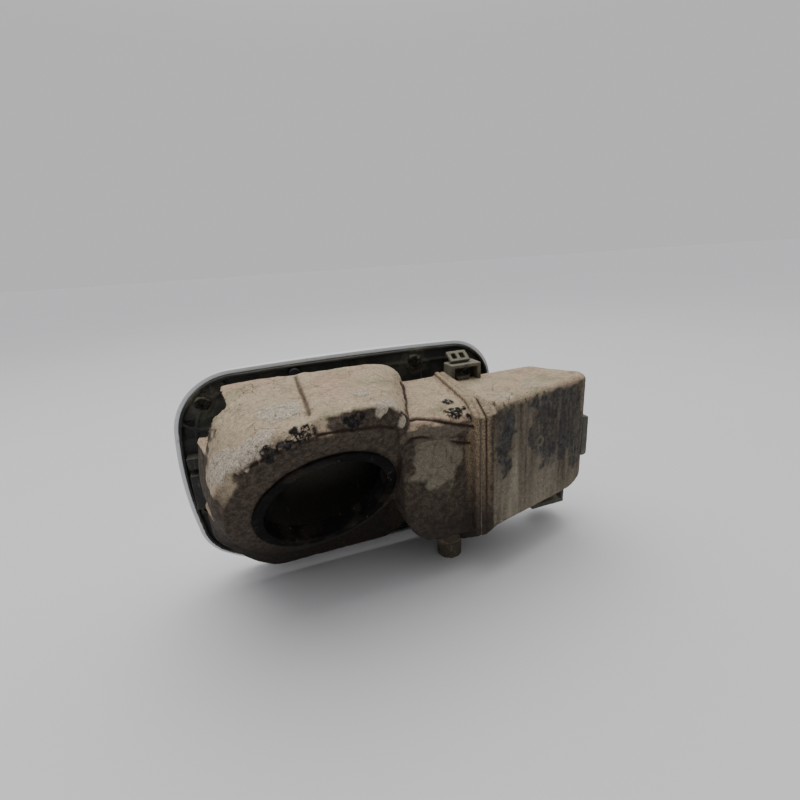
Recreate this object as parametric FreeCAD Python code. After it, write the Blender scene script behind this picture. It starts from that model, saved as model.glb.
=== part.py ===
"""Fuel filler flap with its moulded pot and hinge box.

Axes while modelling: X to the right along the flap's width (0 at the flap's middle), Y outwards
through the painted face (0 at the back of the flap's rim), Z up (0 at the flap's lower edge).
At the end the whole assembly is moved so that the origin is the middle of its base.
All sizes are in millimetres.
"""
import FreeCAD
import Part
import math
import os

V = FreeCAD.Vector

# flap
FLAP_H = 133.0
# the flap's outline: each stretch ends at a point (x, z), after passing through another one
OUTLINE_START = (45.0, 0.0)
OUTLINE_ARCS = [
    (None, (-40.0, 0.0)),
    ((-66.0, 5.0), (-86.0, 15.5)),
    ((-94.6, 24.0), (-98.8, 36.5)),
    ((-101.7, 72.0), (-99.8, 101.0)),
    ((-90.0, 120.8), (-66.0, 131.8)),
    ((5.0, FLAP_H), (72.0, 132.0)),
    ((92.5, 123.0), (100.5, 104.0)),
    ((102.0, 72.0), (99.0, 38.0)),
    ((94.4, 25.0), (86.0, 16.0)),
    ((66.0, 5.0), (45.0, 0.0)),
]
CROWN_RADIUS = 900.0          # sphere that the painted face follows
CROWN_Y = 9.0                 # crown's highest point
SKIN_T = 1.2
SKIN_RIM_T = 2.4              # folded rim of the skin
SKIN_BACK_Y = -0.8
SKIN_EDGE = 1.4               # bevel round the painted face
FIT_GAP = 0.15                # play between parts that sit in each other
CARRIER_T = 2.4
CARRIER_BACK_Y = -0.6
RIM_RIB_H = 2.6
RIM_RIB_T = 1.8
INNER_RIB_INSET = 8.0
INNER_RIB_H = 1.2
INNER_RIB_T = 1.4
CLIP_RIB_R = 15.0             # curved rib round the upper left clip
CLIP_RIB_T = 1.5
CLIP_RIB_H = 2.0
CLIP_SEAT_RIM = 1.6           # raised seat of a clip, beyond its head
CLIP_SEAT_H = 1.2
POCKET = (-95.0, -87.5, 95.0, 106.0)  # pocket left of the pot: x from, to, z from, to
POCKET_DEPTH = 1.4
BACKING_Y = 2.2               # clips and stops end here, short of the skin
SKIN_CLIP_PLACES = [(-82.0, 115.0), (45.0, 122.5), (-78.0, 24.0), (70.0, 18.0)]
SKIN_CLIP_HEAD_R = 4.2
SKIN_CLIP_HEAD_T = 2.4
SKIN_CLIP_ROUND = 1.4
SKIN_CLIP_SHANK_R = 2.0
SKIN_CLIP_BARB = 0.9          # the barb stands out from the shank
BUFFER_PLACES = [(82.0, 110.0), (86.0, 34.0), (-30.0, 125.0)]
BUFFER_R = 4.0
BUFFER_H = 4.5
BUFFER_TAPER = 1.0
BUFFER_STEM_R = 1.5
BUFFER_KNOB_R = 2.3

# latch striker at the flap's left edge
STRIKER_LEFT = -95.6
STRIKER_RIGHT = -88.8
STRIKER_BOTTOM = 47.0
STRIKER_TOP = 86.0
STRIKER_BASE_T = 1.8
UPPER_BLOCK = (-8.5, 79.0)            # back face, lower end
LOWER_BLOCK = (-89.4, -9.5, 54.5, 76.0)  # right side, back face, lower end, upper end
BOLT_WINDOW = (-6.5, -2.6, 62.5, 72.0)   # back, front, bottom, top
STRIKER_SCREW_PLACE = (-92.2, 51.0)
STRIKER_SCREW_LENGTH = 5.0
STRIKER_SCREW_HEAD = (2.6, 1.6)       # radius, thickness

# pot
MOUTH_Y = -13.0               # front edge of the pot and of the hinge box
WALL = 2.4
POT_CENTRE_X = -28.5
POT_CENTRE_Z = 70.0
# distance from the centre and direction in degrees of each side of the mouth's outline
MOUTH_SIDES = [(60.0, 0.0), (77.0, 45.0), (56.5, 90.0), (73.0, 136.0), (61.4, 170.0),
               (60.5, 180.0), (65.0, 225.0), (58.0, 270.0), (74.0, 315.0)]
OUTLINE_POLES = 40
MOUTH_DEPTH = 8.0             # straight stretch behind the mouth
NECK_CENTRE = V(-26.0, -54.5, 67.5)
NECK_TURN = 7.2               # turn of the neck face about Z, degrees
NECK_TILT = 28.7              # tilt of the neck face down from vertical, degrees
NECK_R = 33.0
FACE_R = 48.0
FACE_SHIFT_RIGHT = -2.5       # middle of the face from the middle of the neck hole
FACE_SHIFT_UP = 2.5
SHOULDER_R = 52.0
SHOULDER_DEPTH = 8.0
SHOULDER_SWELL = 9.0          # the shoulder stands out more towards the upper right
SHOULDER_SWELL_AT = 50.0      # direction of the swell, degrees
SHOULDER_SWELL_SPREAD = 28.0
RIGHT_BLOCK_X0 = 14.0
SCOOP_R = 16.0                # hollow in the pot round the upper left clip
SCOOP_DEPTH = 24.0
JOINT_X = 57.0                # plane in which pot and hinge box meet
PANEL_Y = -60.0               # back panel right of the neck face
LEDGE_OUT = 3.5               # the ledge above the panel stands out
# outline (y, z) of the pot's right part
RIGHT_PROFILE = [(MOUTH_Y, 12.0), (MOUTH_Y, 113.0), (-54.0, 107.0), (PANEL_Y - 1.0, 103.5),
                 (PANEL_Y - LEDGE_OUT, 100.0), (PANEL_Y - LEDGE_OUT, 94.0), (PANEL_Y, 91.5),
                 (PANEL_Y, 31.0), (-44.0, 17.0)]
# lower left corner of the right part, from its left side: (distance, height)
CORNER_START = (0.0, 52.0)
CORNER_MIDDLE = (6.0, 36.0)
CORNER_END = (22.0, 28.0)
CORNER_FOOT = 26.0
LINK_X0 = 38.0                # the passage to the hinge box starts here at the mouth
LINK_DEPTH = 10.0
LINK_DROP = 3.0
LOCK_NOTCH = (-90.0, -78.0, 62.0, 72.5)  # x from, to, z from, to
LOCK_NOTCH_EDGE = 2.5         # strip left between the notch and the mouth

# rubber collar of the neck
COLLAR_WALL = 3.0
COLLAR_FLANGE_R = 38.5
COLLAR_FLANGE_T = 1.8
COLLAR_INNER_LENGTH = 6.0

# drain
DRAIN_X = 50.0
DRAIN_Y = -36.0
DRAIN_R = 7.8
DRAIN_BORE_R = 5.2
DRAIN_LENGTH = 14.0
DRAIN_ROOT_R = 16.0
DRAIN_ROOT_H = 13.0
DRAIN_HOLE_R = 9.0
DRAIN_SEAT_H = 16.0
DRAIN_TOP = 19.5              # upper end of the nipple, on the pot's floor
DRAIN_GROOVE = (7.3, 11.0, 12.4)      # radius, lower and upper edge of the hose's stop groove

# joint flange and its fasteners
FLANGE_T = 2.5
GASKET_T = 0.8
FLANGE_WINDOW = (-52.0, 36.0, 95.0)   # back, bottom and top of the passage
JOINT_SCREW_PLACES = [(-28.0, 100.5), (-57.5, 84.0), (-57.5, 46.0), (-34.0, 29.0)]
SCREW_R = 1.6
SCREW_HEAD_R = 3.2
SCREW_HEAD_T = 1.8
SCREW_SLOT_R = 0.45           # part of the head's radius
SCREW_SLOT_DEPTH = 0.6        # part of the head's thickness
JOINT_SCREW_HEAD = (2.8, 1.6)         # radius, thickness
# outlines (y, z) of the joint flange and of the hinge box's start
FLANGE_OUTLINE = [(MOUTH_Y, 10.0), (MOUTH_Y, 115.5), (-56.0, 109.5), (-66.5, 102.0),
                  (-66.5, 30.0), (-45.0, 14.0)]
BOX_START_OUTLINE = [(MOUTH_Y, 35.0), (MOUTH_Y, 110.0), (-63.0, 110.0), (-69.0, 104.0),
                     (-69.0, 35.0), (-44.0, 35.0)]

# hinge box
BOX_TOP = 110.0
BOX_BOTTOM = 35.0
BOX_BACK_TURN = 15.0          # plan direction of the back wall, degrees
BOX_BACK_X = 64.0
BOX_BACK_Y = -69.0
BOX_CORNER_X = 141.0
BOX_END = (144.0, -41.0)
BOX_FRONT_X = 127.0
BOX_CORNER_R = 18.0
BOX_EDGE_R = 5.0
BOX_MOUTH_X = 105.0
BOX_MOUTH_DEPTH = 8.0
BOX_NECK_LENGTH = 6.0         # from the joint flange to the box proper
BOX_NECK_SILL = 14.0          # height of the mouth's sill above the flange's foot
BOX_WALL = 2.2
COVER = (138.0, 147.5, -47.0, -34.0, 54.0, 81.0)  # pivot cover: x, y and z limits
COVER_ROUND = 3.0

# hinge
PIVOT_X = 122.0
PIVOT_Y = -25.0
PIN_R = 3.0
PIN_PLAY = 0.05
PIN_HEAD_R = 4.8
PIN_HEAD_T = 2.0
PIN_END = 4.0                 # the pin stands out of the upper lug
PIN_GROOVE_R = 2.2
PIN_CLIP_R = 5.4
PIN_CLIP_T = 1.0
PIN_CLIP_GAP = 3.6
HUB_R = 6.3
HUB_BOTTOM = 52.0
HUB_TOP = 84.0
BUSH_R = 4.5
BUSH_LENGTH = 9.0
BUSH_FLANGE_R = 6.0
BUSH_FLANGE_T = 0.8
LUG_T = 4.0
LUG_GAP = 0.4
LUG_R = 8.5
LUG_REACH = 14.0              # the lug's web behind the pin
ARM_T = 5.0
ARM_BEND_R = 24.0
ARM_LEG = 4.0                 # straight stretch between hub and bend
ARM_PAD_LEFT = 12.0
ARM_PAD_T = 3.0
ARM_GROOVE_MARGIN = 7.0       # lightening groove: land above and below
ARM_GROOVE_FLOOR = 2.2
ARM_GROOVE_END = 6.0
GUSSET_SIZE = 14.0
GUSSET_Z = 66.0
GUSSET_T = 4.0
ARM_SCREW_PLACES = [(20.0, 58.0), (20.0, 78.0), (50.0, 58.0), (50.0, 78.0)]
ARM_SCREW_LENGTH = 6.0

# detent spring on the end wall
DETENT_Z = (61.0, 75.0)
DETENT_T = 0.5
DETENT_GAP = 0.3              # from the bow to the hub
# places along the wall from the pivot's foot: start, end of the flat, bow, far end
DETENT_ALONG = (-14.0, -8.0, -1.5, 1.5, 4.0)
DETENT_FOOT = -11.0           # place of the rivets along the wall
RIVET_HEIGHTS = [65.0, 71.0]
RIVET_R = 1.2
RIVET_HEAD = (2.2, 1.0)       # radius, thickness outside
RIVET_TAIL = (2.0, 0.8)       # radius, thickness inside

# brackets for the body clips
TOP_LOOP = (62.0, 82.0, -22.0, -10.0, 120.5)
BOTTOM_LOOP = (115.0, 141.0, -34.0, -18.0, 12.5)
LOOP_T = 2.2
CLIP_W = 13.0
CLIP_D = 9.0
CLIP_T = 2.0
CLIP_BAR = 2.2
CLIP_LEAN = 32.0              # lean of the upper snap frame, degrees
CLIP_LEAN_FOOT = V(1.5, -7.3, 0.2)    # foot of the leaning frame from the loop's corner
CLIP_POST_T = 1.8
CLIP_POST_RISE = 5.5
CLIP_POST_LEFT = 4.6
CLIP_PLAY = 0.2
CLIP_POST_GAP = 0.1
CLIP_DROP = 3.0               # the lower snap frame hangs below its loop
LOWER_CLIP_FORWARD = 1.5
LOOP_CUT = (56.0, 80.0)       # the lower loop ends below this height


def box(x0, x1, y0, y1, z0, z1):
    """Block between two corners."""
    return Part.makeBox(x1 - x0, y1 - y0, z1 - z0, V(x0, y0, z0))


def rod(radius, start, end):
    """Cylinder between two points."""
    return Part.makeCylinder(radius, (end - start).Length, start, end - start)


def flap_outline(y):
    """Closed wire of the flap's outline, in the plane at y."""
    edges = []
    start = V(OUTLINE_START[0], y, OUTLINE_START[1])
    for through, end_point in OUTLINE_ARCS:
        end = V(end_point[0], y, end_point[1])
        if through is None:
            curve = Part.LineSegment(start, end)
        else:
            curve = Part.Arc(start, V(through[0], y, through[1]), end)
        edges.append(curve.toShape())
        start = end
    return Part.Wire(edges)


def flap_slab(inset, y0, y1):
    """Slab with the flap's outline, moved in by inset."""
    face = Part.Face(flap_outline(y0))
    if inset:
        face = Part.Face(face.makeOffset2D(-inset).OuterWire)
    return face.extrude(V(0, y1 - y0, 0))


def crown(inset):
    """Ball whose surface is the painted face, moved in by inset."""
    centre = V(0, CROWN_Y - CROWN_RADIUS, FLAP_H / 2)
    return Part.makeSphere(CROWN_RADIUS - inset, centre)


def slab_from_points(points, direction):
    """Closed polygon pushed along a direction."""
    wire = Part.makePolygon(points + [points[0]])
    return Part.Face(wire).extrude(direction)


def flap_skin():
    """Painted dish: crowned face, folded rim."""
    outer = flap_slab(0, SKIN_BACK_Y, CROWN_Y + 5).common(crown(0))
    front = [e for e in outer.Edges if e.BoundBox.YMin > 1.0]
    outer = outer.makeChamfer(SKIN_EDGE, front)
    hollow = flap_slab(SKIN_RIM_T, SKIN_BACK_Y - 1, CROWN_Y + 5).common(crown(SKIN_T))
    return outer.cut(hollow)


def ring_slab(inset, thickness, y0, y1):
    """Rib that runs round the flap's outline."""
    return flap_slab(inset, y0, y1).cut(flap_slab(inset + thickness, y0 - 1, y1 + 1))


def flap_carrier():
    """Plastic inner panel: plate, rim ribs, corner rib, pocket and holes for what is fixed to it."""
    edge = SKIN_RIM_T + FIT_GAP
    front_y = CARRIER_BACK_Y + CARRIER_T
    body = flap_slab(edge, CARRIER_BACK_Y, front_y)
    body = body.fuse(ring_slab(edge, RIM_RIB_T, CARRIER_BACK_Y - RIM_RIB_H, CARRIER_BACK_Y + 0.5))
    inner_rib_y = CARRIER_BACK_Y - INNER_RIB_H
    body = body.fuse(ring_slab(edge + INNER_RIB_INSET, INNER_RIB_T, inner_rib_y, CARRIER_BACK_Y + 0.5))
    body = body.fuse(ring_slab(edge, RIM_RIB_T, front_y - 0.5, CROWN_Y))
    body = body.common(crown(SKIN_T + FIT_GAP))
    # curved rib round the upper left clip
    x, z = SKIN_CLIP_PLACES[0]
    rib_foot = V(x, CARRIER_BACK_Y + 0.5, z)
    rib = rod(CLIP_RIB_R + CLIP_RIB_T, V(x, CARRIER_BACK_Y - CLIP_RIB_H, z), rib_foot)
    rib = rib.cut(rod(CLIP_RIB_R, V(x, CARRIER_BACK_Y - CLIP_RIB_H - 1.0, z), rib_foot + V(0, 1, 0)))
    rib = rib.common(flap_slab(edge + 1.0, CARRIER_BACK_Y - 3, CARRIER_BACK_Y + 1))
    body = body.fuse(rib)
    # raised seats under the clips
    for x, z in SKIN_CLIP_PLACES:
        seat = V(x, CARRIER_BACK_Y - CLIP_SEAT_H, z)
        body = body.fuse(rod(SKIN_CLIP_HEAD_R + CLIP_SEAT_RIM, seat, V(x, CARRIER_BACK_Y + 0.5, z)))
    x0, x1, z0, z1 = POCKET
    body = body.cut(box(x0, x1, CARRIER_BACK_Y - 0.01, CARRIER_BACK_Y + POCKET_DEPTH, z0, z1))
    for x, z in SKIN_CLIP_PLACES:
        body = body.cut(rod(SKIN_CLIP_SHANK_R, V(x, -10, z), V(x, 10, z)))
    for x, z in ARM_SCREW_PLACES + [STRIKER_SCREW_PLACE]:
        body = body.cut(rod(SCREW_R, V(x, -10, z), V(x, 10, z)))
    return body.cut(flap_buffers()).cut(latch_striker()).removeSplitter()


def skin_clips():
    """Round push clips that hold the carrier in the skin."""
    clips = []
    for x, z in SKIN_CLIP_PLACES:
        seat = CARRIER_BACK_Y - CLIP_SEAT_H
        head = rod(SKIN_CLIP_HEAD_R, V(x, seat - SKIN_CLIP_HEAD_T, z), V(x, seat, z))
        rim = [e for e in head.Edges if e.BoundBox.YMax < seat - SKIN_CLIP_HEAD_T / 2]
        head = head.makeFillet(SKIN_CLIP_ROUND, rim)
        shank = rod(SKIN_CLIP_SHANK_R, V(x, seat - 0.5, z), V(x, CARRIER_BACK_Y + CARRIER_T, z))
        barb_start = V(x, CARRIER_BACK_Y + CARRIER_T, z)
        barb = rod(SKIN_CLIP_SHANK_R + SKIN_CLIP_BARB, barb_start, V(x, BACKING_Y, z))
        clips.append(head.fuse([shank, barb]).removeSplitter())
    return Part.makeCompound(clips)


def flap_buffers():
    """Rubber stops on the carrier."""
    stops = []
    for x, z in BUFFER_PLACES:
        base = V(x, CARRIER_BACK_Y, z)
        pad = Part.makeCone(BUFFER_R, BUFFER_R - BUFFER_TAPER, BUFFER_H, base, V(0, -1, 0))
        stem = rod(BUFFER_STEM_R, base - V(0, 0.5, 0), base + V(0, CARRIER_T, 0))
        knob = rod(BUFFER_KNOB_R, base + V(0, CARRIER_T, 0), V(x, BACKING_Y, z))
        stops.append(pad.fuse([stem, knob]).removeSplitter())
    return Part.makeCompound(stops)


def latch_striker():
    """Loop at the flap's left edge that the lock bolt enters."""
    left, right = STRIKER_LEFT, STRIKER_RIGHT
    base_y = CARRIER_BACK_Y - STRIKER_BASE_T
    base = box(left, right, base_y, CARRIER_BACK_Y, STRIKER_BOTTOM, STRIKER_TOP)
    upper_y, upper_z = UPPER_BLOCK
    upper = box(left, right, upper_y, CARRIER_BACK_Y, upper_z, STRIKER_TOP)
    lower_x, lower_y, lower_z0, lower_z1 = LOWER_BLOCK
    lower = box(left, lower_x, lower_y, CARRIER_BACK_Y, lower_z0, lower_z1)
    y0, y1, z0, z1 = BOLT_WINDOW
    window = box(left - 1.0, right + 1.0, y0, y1, z0, z1)
    body = base.fuse([upper, lower]).cut(window)
    x, z = STRIKER_SCREW_PLACE
    body = body.cut(rod(SCREW_R, V(x, -10, z), V(x, 10, z)))
    return body.removeSplitter()


def screw(start, direction, length, head_r=SCREW_HEAD_R, head_t=SCREW_HEAD_T):
    """Pan-head screw: the head sits behind start, the shaft runs along direction."""
    unit = V(direction).normalize()
    shaft = Part.makeCylinder(SCREW_R, length, start, unit)
    head = Part.makeCylinder(head_r, head_t, start - unit * head_t, unit)
    slot_depth = head_t * SCREW_SLOT_DEPTH
    slot = Part.makeCylinder(head_r * SCREW_SLOT_R, slot_depth, start - unit * head_t, unit)
    return head.fuse(shaft).removeSplitter().cut(slot)


# ---- hinge arm ---------------------------------------------------------------------------------
def arm_bend_centre():
    """Middle of the arm's half-round bend, at height 0."""
    return V(PIVOT_X - ARM_BEND_R, PIVOT_Y - ARM_LEG, 0)


def hinge_arm():
    """Swan-neck arm: hub, half-round bend, leg and pad on the carrier."""
    height = HUB_TOP - HUB_BOTTOM
    c = arm_bend_centre() + V(0, 0, HUB_BOTTOM)
    half = ARM_T / 2
    bend = Part.makeCylinder(ARM_BEND_R + half, height, c, V(0, 0, 1))
    bend = bend.cut(Part.makeCylinder(ARM_BEND_R - half, height, c, V(0, 0, 1)))
    bend = bend.cut(box(c.x - 40, c.x + 40, c.y, c.y + 40, HUB_BOTTOM - 1, HUB_TOP + 1))
    leg_x = PIVOT_X - 2 * ARM_BEND_R
    pad_front = CARRIER_BACK_Y
    leg = box(leg_x - half, leg_x + half, c.y, pad_front, HUB_BOTTOM, HUB_TOP)
    root = box(PIVOT_X - half, PIVOT_X + half, c.y, PIVOT_Y, HUB_BOTTOM, HUB_TOP)
    hub = Part.makeCylinder(HUB_R, height, V(PIVOT_X, PIVOT_Y, HUB_BOTTOM), V(0, 0, 1))
    pad = box(ARM_PAD_LEFT, leg_x + half, pad_front - ARM_PAD_T, pad_front, HUB_BOTTOM, HUB_TOP)
    corner = V(leg_x - half, pad_front - ARM_PAD_T, GUSSET_Z)
    gusset = slab_from_points([corner, corner - V(GUSSET_SIZE, 0, 0), corner - V(0, GUSSET_SIZE, 0)],
                              V(0, 0, GUSSET_T))
    arm = hub.fuse([root, bend, leg, pad, gusset]).removeSplitter()
    # lightening groove along the bend, open to the outside
    groove_h = height - 2 * ARM_GROOVE_MARGIN
    groove_foot = c + V(0, 0, ARM_GROOVE_MARGIN)
    floor_r = ARM_BEND_R - half + ARM_GROOVE_FLOOR
    groove = Part.makeCylinder(ARM_BEND_R + half + 1, groove_h, groove_foot, V(0, 0, 1))
    groove = groove.cut(Part.makeCylinder(floor_r, groove_h, groove_foot, V(0, 0, 1)))
    groove = groove.cut(box(c.x - 40, c.x + 40, c.y - ARM_GROOVE_END, c.y + 40, HUB_BOTTOM, HUB_TOP))
    arm = arm.cut(groove)
    arm = arm.cut(rod(BUSH_R, V(PIVOT_X, PIVOT_Y, HUB_BOTTOM - 1), V(PIVOT_X, PIVOT_Y, HUB_TOP + 1)))
    for x, z in ARM_SCREW_PLACES:
        arm = arm.cut(rod(SCREW_R, V(x, -12, z), V(x, 2, z)))
    return arm


def hinge_bush(bottom, flange_down):
    """Flanged plain bush that runs on the pin."""
    sign = -1 if flange_down else 1
    start = V(PIVOT_X, PIVOT_Y, bottom)
    sleeve = Part.makeCylinder(BUSH_R, BUSH_LENGTH, start, V(0, 0, 1))
    flange_z = bottom if flange_down else bottom + BUSH_LENGTH
    flange_foot = V(PIVOT_X, PIVOT_Y, flange_z)
    flange = Part.makeCylinder(BUSH_FLANGE_R, BUSH_FLANGE_T, flange_foot, V(0, 0, sign))
    bore = Part.makeCylinder(PIN_R + PIN_PLAY, 60, start - V(0, 0, 20), V(0, 0, 1))
    return sleeve.fuse(flange).removeSplitter().cut(bore)


def lug_faces():
    """Inner faces of the two lugs, lower and upper."""
    return (HUB_BOTTOM - BUSH_FLANGE_T - LUG_GAP, HUB_TOP + BUSH_FLANGE_T + LUG_GAP)


def hinge_pin():
    """Steel pin with a head below and a groove for its clip above."""
    low, high = lug_faces()
    start = V(PIVOT_X, PIVOT_Y, low - LUG_T - PIN_HEAD_T)
    head = Part.makeCylinder(PIN_HEAD_R, PIN_HEAD_T, start, V(0, 0, 1))
    pin = Part.makeCylinder(PIN_R, high + LUG_T + PIN_END - start.z, start, V(0, 0, 1))
    pin = head.fuse(pin).removeSplitter()
    groove_foot = V(PIVOT_X, PIVOT_Y, high + LUG_T)
    groove = Part.makeCylinder(PIN_R + 1, PIN_CLIP_T, groove_foot, V(0, 0, 1))
    groove = groove.cut(Part.makeCylinder(PIN_GROOVE_R, PIN_CLIP_T, groove_foot, V(0, 0, 1)))
    return pin.cut(groove)


def pin_clip():
    """Open retaining ring in the pin's groove."""
    _, high = lug_faces()
    base = V(PIVOT_X, PIVOT_Y, high + LUG_T)
    ring = Part.makeCylinder(PIN_CLIP_R, PIN_CLIP_T, base, V(0, 0, 1))
    ring = ring.cut(Part.makeCylinder(PIN_GROOVE_R, PIN_CLIP_T, base, V(0, 0, 1)))
    gap = box(-PIN_CLIP_GAP / 2, PIN_CLIP_GAP / 2, -8, 0, -1, 2)
    gap.translate(base)
    return ring.cut(gap)


# ---- hinge box ---------------------------------------------------------------------------------
def box_plan(inset):
    """Plan outline of the hinge box, moved in by inset."""
    back = math.tan(math.radians(BOX_BACK_TURN))
    corner_y = BOX_BACK_Y + (BOX_CORNER_X - BOX_BACK_X) * back
    points = [V(JOINT_X, MOUTH_Y, 0), V(JOINT_X, BOX_BACK_Y - (BOX_BACK_X - JOINT_X) * back, 0),
              V(BOX_CORNER_X, corner_y, 0), V(BOX_END[0], BOX_END[1], 0), V(BOX_FRONT_X, MOUTH_Y, 0)]
    face = Part.Face(Part.makePolygon(points + [points[0]]))
    if inset:
        face = Part.Face(face.makeOffset2D(-inset).OuterWire)
    return face


def box_side(inset):
    """Outline of the hinge box seen from the back, moved in by inset."""
    r = BOX_CORNER_R
    right_low = BOX_END[0] + 0.5
    k = r * (1 - math.sqrt(0.5))
    p = [V(JOINT_X, 0, BOX_BOTTOM), V(right_low - r, 0, BOX_BOTTOM), V(right_low, 0, BOX_BOTTOM + r),
         V(right_low, 0, BOX_TOP), V(JOINT_X, 0, BOX_TOP)]
    arc = Part.Arc(p[1], V(right_low - k, 0, BOX_BOTTOM + k), p[2]).toShape()
    edges = [Part.LineSegment(p[0], p[1]).toShape(), arc, Part.LineSegment(p[2], p[3]).toShape(),
             Part.LineSegment(p[3], p[4]).toShape(), Part.LineSegment(p[4], p[0]).toShape()]
    face = Part.Face(Part.Wire(edges))
    if inset:
        face = Part.Face(face.makeOffset2D(-inset).OuterWire)
    return face


def box_solid(inset):
    """Hinge box as a block, moved in by inset."""
    plan = box_plan(inset)
    plan.translate(V(0, 0, -20))
    tall = plan.extrude(V(0, 0, 200))
    side = box_side(inset)
    side.translate(V(0, 20, 0))
    deep = side.extrude(V(0, -140, 0))
    return tall.common(deep)


def yz_wire(outline, x, inset=0.0):
    """Closed wire in the plane at x; inset moves it in towards its middle."""
    face = Part.Face(Part.makePolygon([V(x, y, z) for y, z in outline + outline[:1]]))
    if inset:
        face = face.makeOffset2D(-inset)
    return face.OuterWire


def flange_plate(x0, x1):
    """Joint flange between two planes, with its passage and screw holes."""
    plate = Part.Face(yz_wire(FLANGE_OUTLINE, x0)).extrude(V(x1 - x0, 0, 0))
    back, bottom, top = FLANGE_WINDOW
    plate = plate.cut(box(x0 - 1, x1 + 1, back, 0, bottom, top))
    for y, z in JOINT_SCREW_PLACES:
        plate = plate.cut(rod(SCREW_R, V(x0 - 1, y, z), V(x1 + 1, y, z)))
    return plate


def hinge_box():
    """Box that holds the hinge: shell, joint flange, neck to the flange, lugs."""
    x0 = JOINT_X + GASKET_T / 2
    x1 = x0 + FLANGE_T
    x2 = x1 + BOX_NECK_LENGTH
    outer = box_solid(0).common(box(x2, 200, -100, 20, 0, 200))
    upright = [e for e in outer.Edges if e.BoundBox.ZLength > 40 and e.BoundBox.XMin > 130]
    outer = outer.makeFillet(BOX_EDGE_R, upright)
    rim = [e for e in outer.Edges if e.BoundBox.ZMin > BOX_TOP - 0.1]
    rim = [e for e in rim if e.BoundBox.YMax < MOUTH_Y - 1 and e.BoundBox.XMax > x2 + 1]
    outer = outer.makeFillet(BOX_EDGE_R - 1, rim)
    neck = Part.makeLoft([yz_wire(FLANGE_OUTLINE, x1), yz_wire(BOX_START_OUTLINE, x2)], True, True)
    inner = box_solid(BOX_WALL).common(box(x2 - 0.2, 200, -100, 20, 0, 200))
    inner_neck = Part.makeLoft([yz_wire(FLANGE_OUTLINE, x1 - 0.02, BOX_WALL),
                                yz_wire(BOX_START_OUTLINE, x2, BOX_WALL)], True, True)
    shell = outer.fuse(neck).cut(inner).cut(inner_neck)
    # mouth under the flap
    back = MOUTH_Y - BOX_MOUTH_DEPTH
    ceiling = BOX_TOP - BOX_WALL
    sill = FLANGE_OUTLINE[0][1] + BOX_NECK_SILL
    shell = shell.cut(box(x1 - 0.02, BOX_MOUTH_X, back, 10, BOX_BOTTOM + BOX_WALL, ceiling))
    shell = shell.cut(box(x1 - 0.02, x2, back, 10, sill, ceiling))
    # lugs for the pin
    low, high = lug_faces()
    space = box_solid(BOX_WALL - 0.05)
    for z in (low - LUG_T, high):
        lug = Part.makeCylinder(LUG_R, LUG_T, V(PIVOT_X, PIVOT_Y, z), V(0, 0, 1))
        lug = lug.fuse(box(PIVOT_X, 150, PIVOT_Y - LUG_REACH, PIVOT_Y + LUG_R - PIN_R, z, z + LUG_T))
        lug = lug.fuse(box(PIVOT_X - LUG_R, 150, PIVOT_Y, -10, z, z + LUG_T))
        shell = shell.fuse(lug.common(space))
    shell = shell.cut(rod(PIN_R, V(PIVOT_X, PIVOT_Y, low - 10), V(PIVOT_X, PIVOT_Y, high + 10)))
    shell = shell.fuse(flange_plate(x0, x1))
    for y, z in JOINT_SCREW_PLACES:
        shell = shell.cut(rod(SCREW_R, V(x0 - 1, y, z), V(x1 + 0.5, y, z)))
    for hole in detent_holes():
        shell = shell.cut(hole)
    return shell.removeSplitter()


def chamfer_frame():
    """Foot of the pivot on the slanted end wall's inner face, wall direction and inward normal."""
    a = V(BOX_END[0], BOX_END[1], 0)
    b = V(BOX_FRONT_X, MOUTH_Y, 0)
    along = (b - a).normalize()
    inward = V(-along.y, along.x, 0)
    pivot = V(PIVOT_X, PIVOT_Y, 0)
    distance = (pivot - a).dot(inward) - BOX_WALL
    return pivot - inward * distance, along, inward, distance


def detent_spring():
    """Leaf spring riveted to the end wall, bowed towards the arm's hub."""
    foot, along, inward, distance = chamfer_frame()
    bow = distance - HUB_R - DETENT_GAP - DETENT_T
    height = DETENT_Z[1] - DETENT_Z[0]
    outer = list(zip(DETENT_ALONG, (0.0, 0.0, bow, bow, DETENT_GAP)))
    inner = [(s, d + DETENT_T) for s, d in reversed(outer)]
    points = [foot + along * s + inward * d + V(0, 0, DETENT_Z[0]) for s, d in outer + inner]
    leaf = slab_from_points(points, V(0, 0, height))
    for hole in detent_holes():
        leaf = leaf.cut(hole)
    return leaf


def detent_holes():
    """Rivets' holes through the end wall and the spring."""
    foot, along, inward, _ = chamfer_frame()
    place = foot + along * DETENT_FOOT
    holes = []
    for z in RIVET_HEIGHTS:
        up = V(0, 0, z)
        holes.append(rod(RIVET_R, place - inward * 6 + up, place + inward * 3 + up))
    return holes


def detent_rivets():
    """Rivets that hold the spring, closed on both sides."""
    foot, along, inward, _ = chamfer_frame()
    place = foot + along * DETENT_FOOT
    head_r, head_t = RIVET_HEAD
    tail_r, tail_t = RIVET_TAIL
    rivets = []
    for z in RIVET_HEIGHTS:
        up = V(0, 0, z)
        shank = rod(RIVET_R, place - inward * BOX_WALL + up, place + inward * DETENT_T + up)
        outside = rod(head_r, place - inward * (BOX_WALL + head_t) + up, place - inward * BOX_WALL + up)
        inside = rod(tail_r, place + inward * DETENT_T + up, place + inward * (DETENT_T + tail_t) + up)
        rivets.append(shank.fuse([outside, inside]).removeSplitter())
    return Part.makeCompound(rivets)


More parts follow.
